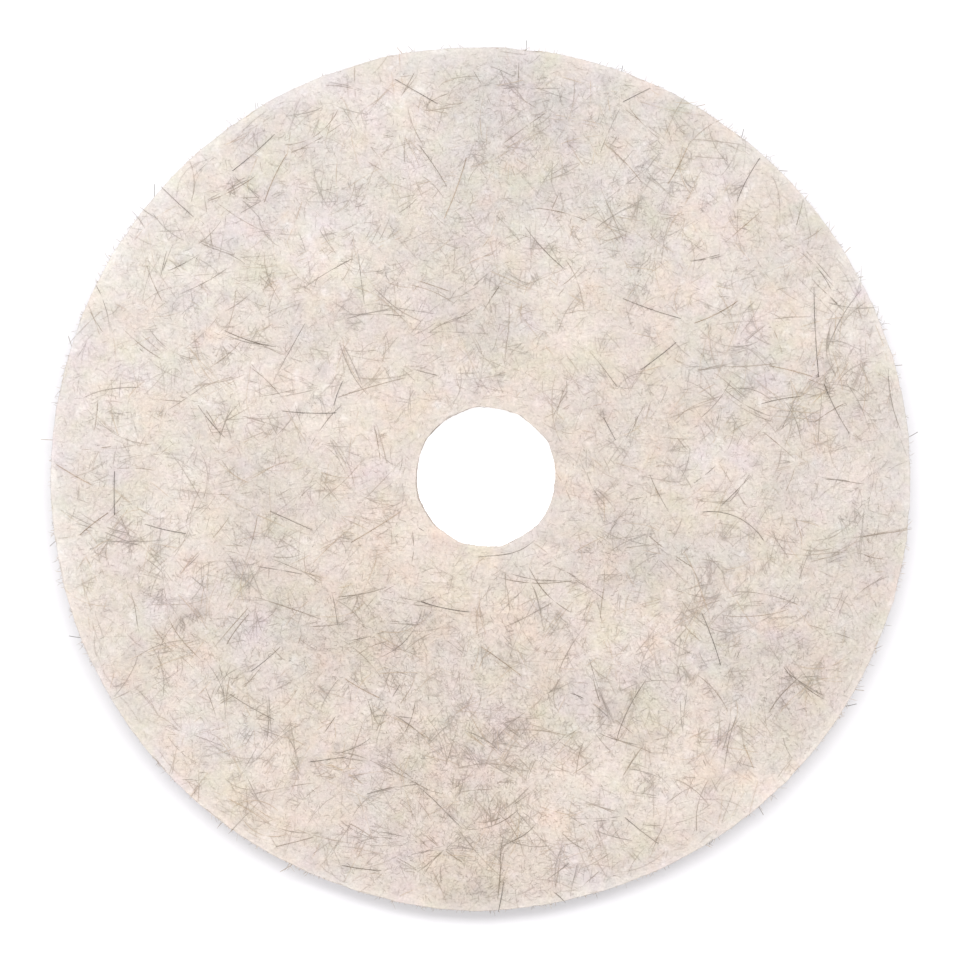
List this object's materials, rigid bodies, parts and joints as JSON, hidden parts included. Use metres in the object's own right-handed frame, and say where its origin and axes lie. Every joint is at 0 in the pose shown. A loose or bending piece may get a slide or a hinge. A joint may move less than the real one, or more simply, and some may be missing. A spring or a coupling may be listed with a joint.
{
  "type": "felt polishing wheel",
  "caption": "Round, thick pad of cream fibre web with stiff animal hair, and an open centre hole, that turns flat on a surface to polish it.",
  "frame": {"origin": "middle of the underside, on the pad's axis", "axes": "+Z along the pad's axis, out of the working face; +X towards the side that the centre hole is slightly off to"},
  "size_m": [0.5197, 0.5155, 0.0258],
  "materials": {
    "facing_web": "matte",
    "inner_web": "matte",
    "dark_hair": "matte",
    "tan_hair": "matte"
  },
  "bodies": {
    "root": {"bottom_facing_ply": "facing_web", "web_ply_2": "inner_web", "web_ply_3": "inner_web", "web_ply_4": "inner_web", "web_ply_5": "inner_web", "top_facing_ply": "facing_web", "rim_hair_01": "dark_hair", "rim_hair_02": "dark_hair", "rim_hair_03": "tan_hair", "rim_hair_04": "dark_hair", "rim_hair_05": "dark_hair", "rim_hair_06": "tan_hair", "rim_hair_07": "dark_hair", "rim_hair_08": "dark_hair", "rim_hair_09": "tan_hair", "rim_hair_10": "dark_hair", "rim_hair_11": "dark_hair", "rim_hair_12": "tan_hair", "rim_hair_13": "dark_hair", "rim_hair_14": "dark_hair", "rim_hair_15": "tan_hair", "rim_hair_16": "dark_hair", "rim_hair_17": "dark_hair", "rim_hair_18": "tan_hair", "face_hair_01": "dark_hair", "face_hair_02": "dark_hair", "face_hair_03": "tan_hair", "face_hair_04": "dark_hair", "face_hair_05": "dark_hair", "face_hair_06": "tan_hair", "face_hair_07": "dark_hair", "face_hair_08": "dark_hair", "face_hair_09": "tan_hair", "face_hair_10": "dark_hair", "face_hair_11": "dark_hair", "face_hair_12": "tan_hair", "face_hair_13": "dark_hair", "face_hair_14": "dark_hair", "face_hair_15": "tan_hair", "face_hair_16": "dark_hair", "face_hair_17": "dark_hair", "face_hair_18": "tan_hair", "face_hair_19": "dark_hair", "face_hair_20": "dark_hair", "face_hair_21": "tan_hair", "face_hair_22": "dark_hair", "face_hair_23": "dark_hair", "face_hair_24": "tan_hair", "face_hair_25": "dark_hair", "face_hair_26": "dark_hair", "face_hair_27": "tan_hair", "face_hair_28": "dark_hair", "face_hair_29": "dark_hair", "face_hair_30": "tan_hair", "face_hair_31": "dark_hair", "face_hair_32": "dark_hair", "face_hair_33": "tan_hair", "face_hair_34": "dark_hair", "face_hair_35": "dark_hair"}
  },
  "joints": []
}
